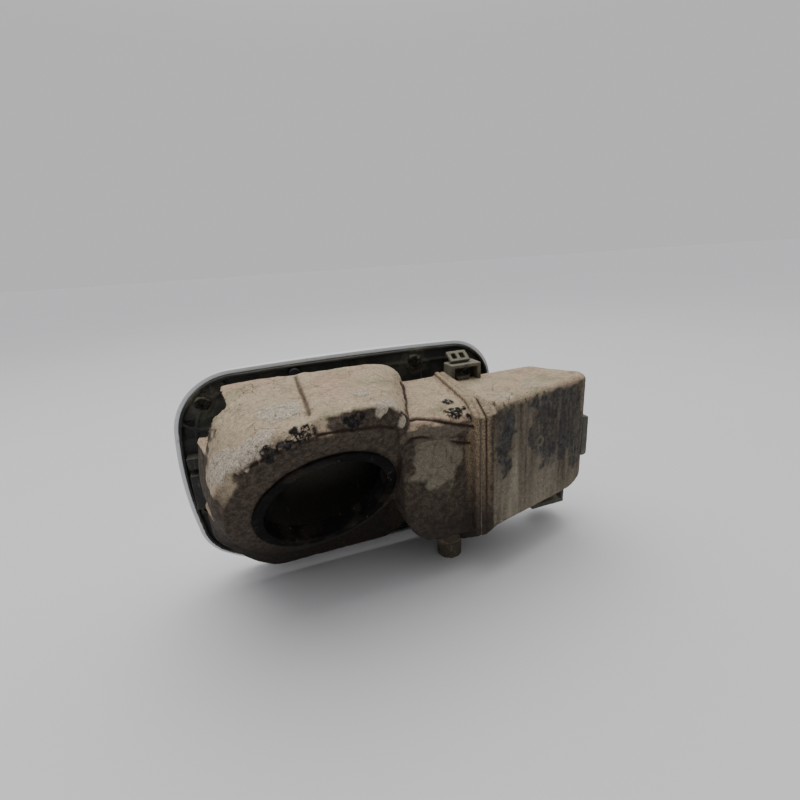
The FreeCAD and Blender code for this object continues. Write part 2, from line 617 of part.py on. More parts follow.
# ---- pot ---------------------------------------------------------------------------------------
def neck_axes():
    """Unit vectors of the neck face: outward normal, right, up."""
    turn = math.radians(NECK_TURN)
    tilt = math.radians(NECK_TILT)
    normal = V(math.sin(turn) * math.cos(tilt), -math.cos(turn) * math.cos(tilt), -math.sin(tilt))
    right = V(math.cos(turn), math.sin(turn), 0)
    up = right.cross(V(-normal.x, -normal.y, -normal.z)).normalize()
    if up.z < 0:
        up = up * -1
    return normal, right, up


def mouth_radius(angle):
    """Distance from the pot's centre to the mouth's outline in a direction."""
    best = 1e9
    for distance, direction in MOUTH_SIDES:
        c = math.cos(angle - math.radians(direction))
        if c > 0.05:
            best = min(best, distance / c)
    return best


def closed_curve(points):
    """Closed wire of a smooth curve drawn by its poles."""
    curve = Part.BSplineCurve()
    curve.buildFromPoles(points, True, 3)
    return Part.Wire([curve.toShape()])


def pot_dome(inset):
    """Pot from the mouth to the neck face: straight rim, sloping sides, rounded shoulder, face."""
    normal, right, up = neck_axes()
    face_centre = NECK_CENTRE + right * FACE_SHIFT_RIGHT + up * FACE_SHIFT_UP - normal * inset
    angles = [2 * math.pi * i / OUTLINE_POLES for i in range(OUTLINE_POLES)]
    sections = []
    front = MOUTH_Y + (2.0 if inset else 0.0)
    for y in (front, MOUTH_Y - MOUTH_DEPTH + inset):
        points = []
        for a in angles:
            r = mouth_radius(a) - inset
            points.append(V(POT_CENTRE_X + r * math.cos(a), y, POT_CENTRE_Z + r * math.sin(a)))
        sections.append(closed_curve(points))
    for radius, swell, depth in ((SHOULDER_R, SHOULDER_SWELL, SHOULDER_DEPTH), (FACE_R, 0.0, 0.0)):
        points = []
        for a in angles:
            off = (math.degrees(a) - SHOULDER_SWELL_AT) / SHOULDER_SWELL_SPREAD
            r = radius + swell * math.exp(-off * off) - inset
            points.append(face_centre - normal * depth + right * (r * math.cos(a)) + up * (r * math.sin(a)))
        sections.append(closed_curve(points))
    return Part.makeLoft(sections, True, True)


def pot_right_block(inset):
    """Pot's right part, with the ledge above its back panel."""
    face = Part.Face(yz_wire(RIGHT_PROFILE, RIGHT_BLOCK_X0 + inset))
    if inset:
        face = Part.Face(face.makeOffset2D(-inset).OuterWire)
    end = JOINT_X - GASKET_T / 2 - FLANGE_T
    block = face.extrude(V(end - RIGHT_BLOCK_X0 + (1.0 if inset else 0.0), 0, 0))
    # the block's lower left corner is round
    x = RIGHT_BLOCK_X0 + inset
    start, middle, far = [V(x + across, 20, z) for across, z in (CORNER_START, CORNER_MIDDLE, CORNER_END)]
    low = [V(x - 1, 20, 0), start - V(1, 0, 0), start, far, V(x + CORNER_FOOT, 20, 0)]
    low.append(low[0])
    edges = [Part.LineSegment(low[i], low[i + 1]).toShape() for i in (0, 1, 3, 4)]
    edges.insert(2, Part.Arc(start, middle, far).toShape())
    block = block.cut(Part.Face(Part.Wire(edges)).extrude(V(0, -120, 0)))
    if inset:
        bottom = RIGHT_PROFILE[0][1] + inset
        top = RIGHT_PROFILE[1][1] - inset - LINK_DROP
        block = block.fuse(box(LINK_X0, end + 1, MOUTH_Y - LINK_DEPTH, MOUTH_Y + 5, bottom, top))
    return block


def drain_solid():
    """Drain nipple as one turned shape."""
    base = V(DRAIN_X, DRAIN_Y, 0)
    z = V(0, 0, 1)
    tube = Part.makeCylinder(DRAIN_R, DRAIN_LENGTH, base, z)
    root_foot = base + V(0, 0, DRAIN_LENGTH - 0.5)
    root = Part.makeCone(DRAIN_R, DRAIN_ROOT_R, DRAIN_ROOT_H, root_foot, z)
    seat = Part.makeCylinder(DRAIN_HOLE_R, DRAIN_SEAT_H, base + V(0, 0, DRAIN_LENGTH), z)
    radius, low, high = DRAIN_GROOVE
    groove = Part.makeCylinder(DRAIN_ROOT_R, high - low, base + V(0, 0, low), z)
    groove = groove.cut(Part.makeCylinder(radius, high - low, base + V(0, 0, low), z))
    bore = Part.makeCylinder(DRAIN_BORE_R, 60, base - V(0, 0, 5), z)
    return tube.fuse([root, seat]).cut(bore).cut(groove)


def filler_pot():
    """Moulded pot."""
    normal, _, _ = neck_axes()
    outer = pot_dome(0).fuse(pot_right_block(0))
    inner = pot_dome(WALL).fuse(pot_right_block(WALL))
    x, z = SKIN_CLIP_PLACES[0]
    scoop = rod(SCOOP_R, V(x, MOUTH_Y + 5, z), V(x, MOUTH_Y - SCOOP_DEPTH, z))
    scoop_room = rod(SCOOP_R + WALL, V(x, MOUTH_Y + 5, z), V(x, MOUTH_Y - SCOOP_DEPTH - WALL, z))
    pot = outer.cut(scoop).cut(inner.cut(scoop_room))
    pot = pot.cut(rod(NECK_R + COLLAR_WALL, NECK_CENTRE + normal * 5, NECK_CENTRE - normal * 12))
    x0, x1, z0, z1 = LOCK_NOTCH
    pot = pot.cut(box(x0, x1, -40, MOUTH_Y - LOCK_NOTCH_EDGE, z0, z1))
    end = JOINT_X - GASKET_T / 2
    pot = pot.fuse(flange_plate(end - FLANGE_T, end))
    pot = pot.cut(rod(DRAIN_HOLE_R, V(DRAIN_X, DRAIN_Y, 5), V(DRAIN_X, DRAIN_Y, 40)))
    return pot.removeSplitter()


def neck_seal():
    """Rubber collar in the neck hole: sleeve with a flange on each side of the wall."""
    normal, _, _ = neck_axes()
    outside = NECK_CENTRE + normal * COLLAR_FLANGE_T
    inside = NECK_CENTRE - normal * WALL
    far = inside - normal * COLLAR_INNER_LENGTH
    ring = rod(NECK_R + COLLAR_WALL, outside, far)
    ring = ring.fuse(rod(COLLAR_FLANGE_R, outside, NECK_CENTRE))
    ring = ring.fuse(rod(COLLAR_FLANGE_R, inside, inside - normal * COLLAR_FLANGE_T))
    return ring.removeSplitter().cut(rod(NECK_R, outside + normal, far - normal))


def drain_spigot(neighbours):
    """Drain nipple, seated in the pot's floor."""
    body = drain_solid()
    top = box(DRAIN_X - 30, DRAIN_X + 30, DRAIN_Y - 30, DRAIN_Y + 30, DRAIN_TOP, 60)
    body = body.cut(top)
    for neighbour in neighbours:
        body = body.cut(neighbour)
    return sorted(body.Solids, key=lambda s: s.Volume)[-1]


def joint_gasket():
    """Flat gasket between the two flanges."""
    return flange_plate(JOINT_X - GASKET_T / 2, JOINT_X + GASKET_T / 2)


def joint_screws():
    """Screws from the box side into the pot's flange."""
    start_x = JOINT_X + GASKET_T / 2 + FLANGE_T
    length = 2 * FLANGE_T + GASKET_T
    screws = []
    for y, z in JOINT_SCREW_PLACES:
        screws.append(screw(V(start_x, y, z), V(-1, 0, 0), length, *JOINT_SCREW_HEAD))
    return Part.makeCompound(screws)


# ---- clip brackets -----------------------------------------------------------------------------
def loop(x0, x1, y0, y1, z0, z1, bar_low):
    """Loop with its passage along Y; bar_low says that its crossbar is the lower side."""
    body = box(x0, x1, y0, y1, z0, z1)
    if bar_low:
        return body.cut(box(x0 + LOOP_T, x1 - LOOP_T, y0 - 1, y1 + 1, z0 + LOOP_T, z1 + 5))
    return body.cut(box(x0 + LOOP_T, x1 - LOOP_T, y0 - 1, y1 + 1, z0 - 5, z1 - LOOP_T))


def top_clip_bracket(housing):
    """Loop on the hinge box's top, with a shelf under it."""
    x0, x1, y0, y1, z1 = TOP_LOOP
    shelf = box(x0, x1, MOUTH_Y, y1, BOX_TOP - LOOP_T, BOX_TOP)
    body = loop(x0, x1, y0, y1, BOX_TOP - 1, z1, False).fuse(shelf)
    return sorted(body.cut(housing).Solids, key=lambda s: s.Volume)[-1].removeSplitter()


def bottom_clip_bracket(housing):
    """Loop below the hinge box."""
    x0, x1, y0, y1, z0 = BOTTOM_LOOP
    body = loop(x0, x1, y0, y1, z0, BOX_BOTTOM + BOX_CORNER_R + 4, True)
    low, high = LOOP_CUT
    body = body.cut(housing).cut(box(x0 - 5, x1 + 5, y0 - 5, y1 + 5, low, high))
    keep = [s for s in body.Solids if s.BoundBox.ZMin < z0 + 1]
    return keep[0].removeSplitter()


def ladder_clip():
    """Snap frame with two windows, flat on XY."""
    frame_part = box(0, CLIP_W, 0, CLIP_D, 0, CLIP_T)
    window = (CLIP_W - 3 * CLIP_BAR) / 2
    for i in range(2):
        x = CLIP_BAR + i * (window + CLIP_BAR)
        frame_part = frame_part.cut(box(x, x + window, CLIP_BAR, CLIP_D - CLIP_BAR, -1, CLIP_T + 1))
    return frame_part


def top_body_clip():
    """Snap frame that leans on the upper loop, with its foot in the loop."""
    x0, _, y0, y1, z1 = TOP_LOOP
    ladder = ladder_clip()
    ladder.rotate(V(0, 0, 0), V(1, 0, 0), CLIP_LEAN)
    ladder.translate(V(x0, y1, z1) + CLIP_LEAN_FOOT)
    left = x0 + CLIP_POST_LEFT
    right = x0 + CLIP_W
    post_y = y1 + CLIP_POST_GAP
    foot_z = BOX_TOP + CLIP_PLAY
    post = box(left, right, post_y, post_y + CLIP_POST_T, foot_z, z1 + CLIP_POST_RISE)
    foot = box(left, right, y0 + 2, y1 + 0.5, foot_z, foot_z + CLIP_POST_T)
    return ladder.fuse([post, foot]).removeSplitter()


def bottom_body_clip():
    """Snap frame under the lower loop."""
    x0, x1, y0, y1, z0 = BOTTOM_LOOP
    middle = (x0 + x1) / 2
    half = CLIP_W / 2
    left = middle - half
    right = middle + half
    post_y = y1 + CLIP_POST_GAP
    foot_z = z0 + LOOP_T + CLIP_PLAY
    post = box(left, right, post_y, post_y + CLIP_POST_T, z0 - CLIP_DROP, foot_z + CLIP_POST_T)
    foot = box(left, right, y0 + 3, y1 + 0.5, foot_z, foot_z + CLIP_POST_T)
    ladder = ladder_clip()
    ladder.translate(V(left, y1 - CLIP_D + LOWER_CLIP_FORWARD, z0 - CLIP_DROP))
    return ladder.fuse([post, foot]).removeSplitter()


def pivot_cover(housing):
    """Raised cover on the end of the hinge box."""
    body = box(*COVER)
    outer_face = COVER[1]
    body = body.makeFillet(COVER_ROUND, [e for e in body.Edges if e.BoundBox.XMin > outer_face - 0.5])
    rest = body.cut(housing).cut(box_solid(0))
    return sorted(rest.Solids, key=lambda s: s.Volume)[-1].removeSplitter()


# ---- assembly ----------------------------------------------------------------------------------
def striker_screw():
    """Screw of the latch striker."""
    x, z = STRIKER_SCREW_PLACE
    start = V(x, CARRIER_BACK_Y - STRIKER_BASE_T, z)
    return screw(start, V(0, 1, 0), STRIKER_SCREW_LENGTH, *STRIKER_SCREW_HEAD)


def arm_screws():
    """Screws from the arm's pad into the carrier."""
    screws = []
    for x, z in ARM_SCREW_PLACES:
        screws.append(screw(V(x, CARRIER_BACK_Y - ARM_PAD_T, z), V(0, 1, 0), ARM_SCREW_LENGTH))
    return Part.makeCompound(screws)


def build():
    """All parts by name, in the modelling axes."""
    pot = filler_pot()
    housing = hinge_box()
    gasket = joint_gasket()
    parts = {
        "filler_pot": pot,
        "hinge_box": housing,
        "neck_seal": neck_seal(),
        "drain_spigot": drain_spigot([pot, housing, gasket]),
        "joint_gasket": gasket,
        "joint_screws": joint_screws(),
        "top_clip_bracket": top_clip_bracket(housing),
        "top_body_clip": top_body_clip(),
        "bottom_clip_bracket": bottom_clip_bracket(housing),
        "bottom_body_clip": bottom_body_clip(),
        "pivot_cover": pivot_cover(housing),
        "hinge_pin": hinge_pin(),
        "pin_clip": pin_clip(),
        "detent_spring": detent_spring(),
        "detent_rivets": detent_rivets(),
        "flap_skin": flap_skin(),
        "flap_carrier": flap_carrier(),
        "skin_clips": skin_clips(),
        "flap_buffers": flap_buffers(),
        "latch_striker": latch_striker(),
        "striker_screw": striker_screw(),
        "hinge_arm": hinge_arm(),
        "arm_screws": arm_screws(),
        "hinge_bush_lower": hinge_bush(HUB_BOTTOM, True),
        "hinge_bush_upper": hinge_bush(HUB_TOP - BUSH_LENGTH, False),
    }
    return parts


def main():
    """Builds the parts, moves them to the middle of their base and saves them."""
    os.makedirs("parts", exist_ok=True)
    parts = build()
    whole = Part.makeCompound(list(parts.values())).optimalBoundingBox(False, False)
    middle_x = (whole.XMin + whole.XMax) / 2
    middle_y = (whole.YMin + whole.YMax) / 2
    shift = V(-middle_x, -middle_y, -whole.ZMin)
    for name, shape in parts.items():
        shape.translate(shift)
        shape.exportStep("parts/" + name + ".step")
        volume = round(shape.Volume / 1000, 2)
        print(name, "solids", len(shape.Solids), "valid", shape.isValid(), "cm3", volume)
    print("size", whole.XLength, whole.YLength, whole.ZLength)
    print("shift", shift)


main()
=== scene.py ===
"""Fuel filler flap with its moulded pot and hinge box, caked in dried road mud, on a pale floor."""
import math
import bmesh
import bpy
import numpy as np
from mathutils import Matrix, Vector


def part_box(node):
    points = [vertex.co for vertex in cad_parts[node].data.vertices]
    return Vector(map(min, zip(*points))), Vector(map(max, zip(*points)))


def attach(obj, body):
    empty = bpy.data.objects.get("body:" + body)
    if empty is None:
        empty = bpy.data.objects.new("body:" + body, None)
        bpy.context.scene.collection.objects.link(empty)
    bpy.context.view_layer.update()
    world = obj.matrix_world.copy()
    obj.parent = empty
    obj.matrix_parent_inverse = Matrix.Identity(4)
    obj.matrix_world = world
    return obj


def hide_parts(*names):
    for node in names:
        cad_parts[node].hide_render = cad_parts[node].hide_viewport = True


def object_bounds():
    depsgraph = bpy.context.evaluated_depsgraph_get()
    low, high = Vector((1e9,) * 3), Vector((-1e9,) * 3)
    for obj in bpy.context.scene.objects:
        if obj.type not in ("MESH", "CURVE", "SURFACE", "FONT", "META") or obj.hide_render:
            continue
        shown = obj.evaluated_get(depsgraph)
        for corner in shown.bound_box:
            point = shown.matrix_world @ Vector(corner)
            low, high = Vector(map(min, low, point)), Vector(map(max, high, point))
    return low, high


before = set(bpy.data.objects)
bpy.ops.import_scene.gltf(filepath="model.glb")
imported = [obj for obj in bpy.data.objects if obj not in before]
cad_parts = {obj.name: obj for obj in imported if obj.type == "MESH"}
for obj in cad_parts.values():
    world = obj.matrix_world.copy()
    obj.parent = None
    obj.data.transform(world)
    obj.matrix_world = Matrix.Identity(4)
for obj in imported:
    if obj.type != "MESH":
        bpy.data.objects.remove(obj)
cad_low, cad_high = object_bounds()

# ---- places --------------------------------------------------------------------------------------
# Places below are in the design's millimetres: X right from the flap's middle, Y outwards from
# the back of the flap's rim, Z up from the flap's lower edge.
MM = 1000.0                                   # millimetres in a metre
PIVOT = (122.0, -25.0)
JOINT_X = 57.0                                # plane in which pot and hinge box meet
NECK_CENTRE = np.array([-26.0, -54.5, 67.5])
NECK_NORMAL = np.array([0.1099, -0.8702, -0.4802])
BOX_BACK_START = (64.0, -69.0)                # left end of the hinge box's back, x and y
BOX_BACK_TURN = math.radians(15.0)            # the hinge box's back runs at this angle in plan

pin_low, pin_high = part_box("hinge_pin")
pin_x = (pin_low.x + pin_high.x) / 2 * MM
pin_y = (pin_low.y + pin_high.y) / 2 * MM
ORIGIN = np.array([pin_x - PIVOT[0], pin_y - PIVOT[1], 0.0])


def row(point):
    """A place in the design's millimetres as a place in the row frame, in metres."""
    return Vector([(point[i] + ORIGIN[i]) / MM for i in range(3)])


# ---- random patterns -----------------------------------------------------------------------------
def lattice(cells, seed):
    """A fixed random number from 0 to 1 for each whole-number place, by a common integer hash."""
    c = cells.astype(np.int64).astype(np.uint32)
    h = c[:, 0] * np.uint32(73856093) ^ c[:, 1] * np.uint32(19349663) ^ c[:, 2] * np.uint32(83492791)
    h = (h ^ np.uint32(seed * 7919 + 17)) * np.uint32(1274126177)
    h = (h ^ (h >> np.uint32(15))) * np.uint32(2246822519)
    h = h ^ (h >> np.uint32(13))
    return h.astype(float) / (2 ** 32 - 1)


def value_noise(points, size, seed):
    """Smooth noise from -1 to 1 with features of about that size."""
    q = points / size
    base = np.floor(q)
    f = q - base
    f = f * f * (3 - 2 * f)
    total = np.zeros(len(points))
    for corner in range(8):
        step = np.array([corner & 1, corner >> 1 & 1, corner >> 2 & 1])
        weight = np.prod(np.where(step == 1, f, 1 - f), axis=1)
        total += weight * lattice(base + step, seed)
    return total * 2 - 1


def layered(points, size, layers, seed):
    """Several sizes of smooth noise on top of each other."""
    total = np.zeros(len(points))
    share = 1.0
    for i in range(layers):
        total += share * value_noise(points, size / 2 ** i, seed + i)
        share *= 0.5
    return total / 1.5


def rise(value, low, high):
    """0 below low, 1 above high, smooth between."""
    t = np.clip((value - low) / (high - low), 0, 1)
    return t * t * (3 - 2 * t)


def near_line(points, path, width):
    """1 on a line through the given places, 0 further away than width."""
    best = np.full(len(points), 1e9)
    for a, b in zip(path[:-1], path[1:]):
        a = np.array(a, float)
        ab = np.array(b, float) - a
        t = np.clip((points - a) @ ab / (ab @ ab), 0, 1)
        best = np.minimum(best, np.linalg.norm(points - a - t[:, None] * ab, axis=1))
    return 1 - rise(best, width * 0.35, width)


def near_patch(points, place, reach, seed, ragged=0.35):
    """1 inside a ragged patch with that reach along each axis."""
    q = (points - np.array(place, float)) / np.array(reach, float)
    edge = layered(points, 6.0, 3, seed) * ragged
    return 1 - rise(np.linalg.norm(q, axis=1) + edge, 0.75, 1.05)


def near_spots(points, spots, seed, ragged=0.5):
    """1 inside ragged patches, each a place and a radius."""
    edge = layered(points, 5.0, 3, seed) * ragged
    mask = np.zeros(len(points))
    for place, radius in spots:
        d = np.linalg.norm(points - np.array(place, float), axis=1) / radius
        mask = np.maximum(mask, 1 - rise(d + edge, 0.8, 1.0))
    return mask


# ---- meshes --------------------------------------------------------------------------------------
WELD = 2e-6                                   # vertices closer than this are one, metres
BOX_MARGIN = 1e-5                             # moved vertices stay this far inside the CAD's box


def merged_copy(name, nodes):
    """A new object from copies of CAD nodes' meshes."""
    bm = bmesh.new()
    for node in nodes:
        bm.from_mesh(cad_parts[node].data)
    bmesh.ops.remove_doubles(bm, verts=bm.verts, dist=WELD)
    mesh = bpy.data.meshes.new(name)
    bm.to_mesh(mesh)
    bm.free()
    obj = bpy.data.objects.new(name, mesh)
    bpy.context.scene.collection.objects.link(obj)
    return obj


def even_mesh(name, nodes, voxel, steps):
    """The CAD nodes' shape as an even mesh with softened edges; voxel in millimetres."""
    obj = merged_copy(name, nodes)
    grid = obj.modifiers.new("grid", "REMESH")
    grid.mode = "VOXEL"
    grid.voxel_size = voxel / MM
    soft = obj.modifiers.new("soft", "SMOOTH")
    soft.factor = 0.5
    soft.iterations = steps
    graph = bpy.context.evaluated_depsgraph_get()
    mesh = bpy.data.meshes.new_from_object(obj.evaluated_get(graph))
    obj.modifiers.clear()
    obj.data = mesh
    mesh.polygons.foreach_set("use_smooth", np.ones(len(mesh.polygons), bool))
    return obj


def read_vertices(obj):
    """Places in the design's millimetres, and normals."""
    n = len(obj.data.vertices)
    co = np.zeros(n * 3, np.float32)
    normal = np.zeros(n * 3, np.float32)
    obj.data.vertices.foreach_get("co", co)
    obj.data.vertices.foreach_get("normal", normal)
    points = co.reshape(-1, 3).astype(float) * MM - ORIGIN
    return points, normal.reshape(-1, 3).astype(float)


def write_vertices(obj, points):
    """Puts the vertices at these places, kept inside the CAD's box."""
    co = (points + ORIGIN) / MM
    co = np.clip(co, np.array(cad_low) + BOX_MARGIN, np.array(cad_high) - BOX_MARGIN)
    obj.data.vertices.foreach_set("co", co.astype(np.float32).ravel())
    obj.data.update()


def paint(obj, name, values):
    """Stores one number per vertex for the material to read."""
    layer = obj.data.attributes.new(name, "FLOAT", "POINT")
    layer.data.foreach_set("value", np.clip(values, 0, 1).astype(np.float32))


def lumps(points, seed, big, middle, small):
    """Uneven height of dried mud, in millimetres."""
    height = big * layered(points, 16.0, 3, seed)
    height += middle * layered(points, 5.0, 2, seed + 10)
    height += small * value_noise(points, 1.7, seed + 20)
    height -= 3.0 * small * rise(layered(points, 2.6, 2, seed + 30), 0.35, 0.6)
    return height


# ---- materials -----------------------------------------------------------------------------------
BEND_SCALE = 2.2                              # noise that bends the cracks, against their size


class Shader:
    """A material built from nodes; places are the object's own, in millimetres."""

    def __init__(self, name):
        self.material = bpy.data.materials.new(name)
        self.material.use_nodes = True
        self.tree = self.material.node_tree
        self.tree.nodes.clear()
        self.out = self.tree.nodes.new("ShaderNodeOutputMaterial")
        self.surface = self.tree.nodes.new("ShaderNodeBsdfPrincipled")
        self.tree.links.new(self.surface.outputs[0], self.out.inputs["Surface"])
        self.coords = self.tree.nodes.new("ShaderNodeTexCoord")

    def put(self, socket, value):
        """Links a node's output to the socket, or sets the socket's own value."""
        if isinstance(value, bpy.types.NodeSocket):
            self.tree.links.new(value, socket)
        elif isinstance(value, tuple) and socket.type == "RGBA":
            socket.default_value = (*value, 1.0)
        else:
            socket.default_value = value

    def places(self, scale, stretch=(1.0, 1.0, 1.0)):
        """The object's own places in millimetres, times scale and stretch."""
        node = self.tree.nodes.new("ShaderNodeMapping")
        self.tree.links.new(self.coords.outputs["Object"], node.inputs["Vector"])
        node.inputs["Scale"].default_value = [MM * scale * s for s in stretch]
        return node.outputs[0]

    def noise(self, scale, detail=3.0, rough=0.5, stretch=(1.0, 1.0, 1.0)):
        """Soft noise; scale is how many features there are in a millimetre."""
        node = self.tree.nodes.new("ShaderNodeTexNoise")
        self.put(node.inputs["Vector"], self.places(scale, stretch))
        node.inputs["Scale"].default_value = 1.0
        node.inputs["Detail"].default_value = detail
        node.inputs["Roughness"].default_value = rough
        return node.outputs["Fac"]

    def crackle(self, scale, wobble):
        """Distance to the borders of random cells."""
        bend = self.tree.nodes.new("ShaderNodeTexNoise")
        self.put(bend.inputs["Vector"], self.places(scale * BEND_SCALE))
        bend.inputs["Scale"].default_value = 1.0
        bend.inputs["Detail"].default_value = 3.0
        mix = self.tree.nodes.new("ShaderNodeVectorMath")
        mix.operation = "MULTIPLY_ADD"
        self.put(mix.inputs[0], bend.outputs["Color"])
        mix.inputs[1].default_value = (wobble, wobble, wobble)
        self.put(mix.inputs[2], self.places(scale))
        node = self.tree.nodes.new("ShaderNodeTexVoronoi")
        node.feature = "DISTANCE_TO_EDGE"
        self.put(node.inputs["Vector"], mix.outputs[0])
        node.inputs["Scale"].default_value = 1.0
        return node.outputs["Distance"]

    def painted(self, name):
        """The number painted on the vertices under that name."""
        node = self.tree.nodes.new("ShaderNodeAttribute")
        node.attribute_name = name
        return node.outputs["Fac"]

    def step(self, value, low, high, out_low=0.0, out_high=1.0):
        """Smooth change from out_low to out_high while value goes from low to high."""
        node = self.tree.nodes.new("ShaderNodeMapRange")
        node.interpolation_type = "SMOOTHSTEP"
        self.put(node.inputs["Value"], value)
        self.put(node.inputs["From Min"], low)
        self.put(node.inputs["From Max"], high)
        self.put(node.inputs["To Min"], out_low)
        self.put(node.inputs["To Max"], out_high)
        return node.outputs["Result"]

    def math(self, operation, a, b):
        """Arithmetic on two numbers."""
        node = self.tree.nodes.new("ShaderNodeMath")
        node.operation = operation
        self.put(node.inputs[0], a)
        self.put(node.inputs[1], b)
        return node.outputs[0]

    def mix(self, amount, a, b, kind="MIX"):
        """Mixes colour b over colour a."""
        node = self.tree.nodes.new("ShaderNodeMix")
        node.data_type = "RGBA"
        node.blend_type = kind
        node.clamp_factor = True
        self.put(node.inputs["Factor"], amount)
        colours = [s for s in node.inputs if s.type == "RGBA"]
        self.put(colours[0], a)
        self.put(colours[1], b)
        return [s for s in node.outputs if s.type == "RGBA"][0]

    def shaded(self, colour, value, low, high, dark, bright):
        """The colour made darker and brighter by a pattern."""
        return self.mix(1.0, colour, self.step(value, low, high, dark, bright), "MULTIPLY")

    def bump(self, height, distance, strength, below=None):
        """Normal of a pattern that stands out by distance, in millimetres."""
        node = self.tree.nodes.new("ShaderNodeBump")
        self.put(node.inputs["Height"], height)
        node.inputs["Distance"].default_value = distance / MM
        node.inputs["Strength"].default_value = strength
        if below is not None:
            self.put(node.inputs["Normal"], below)
        return node.outputs[0]

    def finish(self, colour, roughness, normal=None, metallic=0.0, specular=0.5):
        """Joins the results to the surface and gives back the material."""
        self.put(self.surface.inputs["Base Color"], colour)
        self.put(self.surface.inputs["Roughness"], roughness)
        self.put(self.surface.inputs["Metallic"], metallic)
        self.put(self.surface.inputs["Specular IOR Level"], specular)
        if normal is not None:
            self.put(self.surface.inputs["Normal"], normal)
        return self.material


# colours of the dust on top
TAN = (0.45, 0.365, 0.25)
PINK = (0.46, 0.335, 0.235)
OLIVE = (0.34, 0.3, 0.19)
DULL_TAN = (0.3, 0.235, 0.165)
# colours of the crackled crust: flakes, wide cracks, narrow cracks
CRUST = (0.55, 0.48, 0.385)
CRUST_CRACK = (0.21, 0.17, 0.12)
CRUST_HAIR = (0.24, 0.2, 0.15)
# colours of the sides: dark dirt, made darker still as painted shade on faces turned from the light above
BROWN = (0.05, 0.039, 0.03)
# grime with painted shade: the colour that darkens the lower parts towards the floor
UMBER = (0.1, 0.079, 0.06)
GRIME_AND_SHADE = (0.03, 0.025, 0.021)
STREAK = (0.33, 0.29, 0.215)
SAND = (0.3, 0.225, 0.145)
DAMP_SAND = (0.13, 0.095, 0.062)
SLATE_DARK = (0.028, 0.028, 0.029)
SLATE_PALE = (0.075, 0.074, 0.07)
# colours of what lies over all of it
CRACK = (0.09, 0.06, 0.04)
SPECK = (0.075, 0.05, 0.035)
# painted shade in the grooves along ledges and creases, also the colour of dark seams
GROOVE_SHADE_AND_SEAM = (0.045, 0.03, 0.022)
CHUNK_DARK = (0.012, 0.012, 0.013)
CHUNK_PALE = (0.052, 0.048, 0.044)
# plastic and paint
SCRATCH = (0.22, 0.22, 0.2)
PAINT = (0.78, 0.8, 0.8)
PAINT_PALE = (0.84, 0.86, 0.86)
# dirt on the paint, also painted shade under the lower rim
PAINT_DIRT_AND_SHADE = (0.03, 0.028, 0.024)


def dust_colour(s, flakes, crust):
    """Colour of the pale dust on top, with its crackled crust."""
    wide = s.noise(0.035, 4.0, 0.55)
    other = s.noise(0.06, 3.0, 0.5, stretch=(1.0, 1.3, 0.8))
    dull = s.noise(0.13, 6.0, 0.7)
    colour = s.mix(s.step(wide, 0.42, 0.62), TAN, PINK)
    colour = s.mix(s.step(other, 0.52, 0.7), colour, OLIVE)
    colour = s.mix(s.step(dull, 0.48, 0.7, 0.0, 0.5), colour, DULL_TAN)
    small_flakes = s.crackle(2.1, 0.5)
    crust_colour = s.mix(s.step(flakes, 0.0, 0.07), CRUST_CRACK, CRUST)
    crust_colour = s.mix(s.step(small_flakes, 0.0, 0.06, 0.45, 0.0), crust_colour, CRUST_HAIR)
    return s.mix(crust, colour, crust_colour)


def side_colour(s, grain, fine):
    """Colour of the sides: darker dirt, partly painted shade, with its streaks, sand and slate-grey patches.
    """
    colour = s.mix(s.step(grain, 0.35, 0.65), BROWN, UMBER)
    colour = s.mix(s.painted("streak"), colour, STREAK)
    sand = s.mix(s.step(fine, 0.3, 0.6), DAMP_SAND, SAND)
    colour = s.mix(s.painted("sand"), colour, sand)
    slate = s.mix(s.step(grain, 0.35, 0.65), SLATE_DARK, SLATE_PALE)
    return s.mix(s.painted("slate"), colour, slate)


def crack_lines(s):
    """1 on the drying cracks: long ones in some places, short thin ones in others."""
    long_ones = s.step(s.crackle(0.085, 0.5), 0.0, 0.02, 1.0, 0.0)
    long_ones = s.math("MULTIPLY", long_ones, s.step(s.noise(0.04, 2.0), 0.46, 0.58))
    short_ones = s.step(s.crackle(0.24, 0.7), 0.0, 0.03, 0.75, 0.0)
    short_ones = s.math("MULTIPLY", short_ones, s.step(s.noise(0.07, 3.0), 0.5, 0.6))
    return s.math("MAXIMUM", long_ones, short_ones)


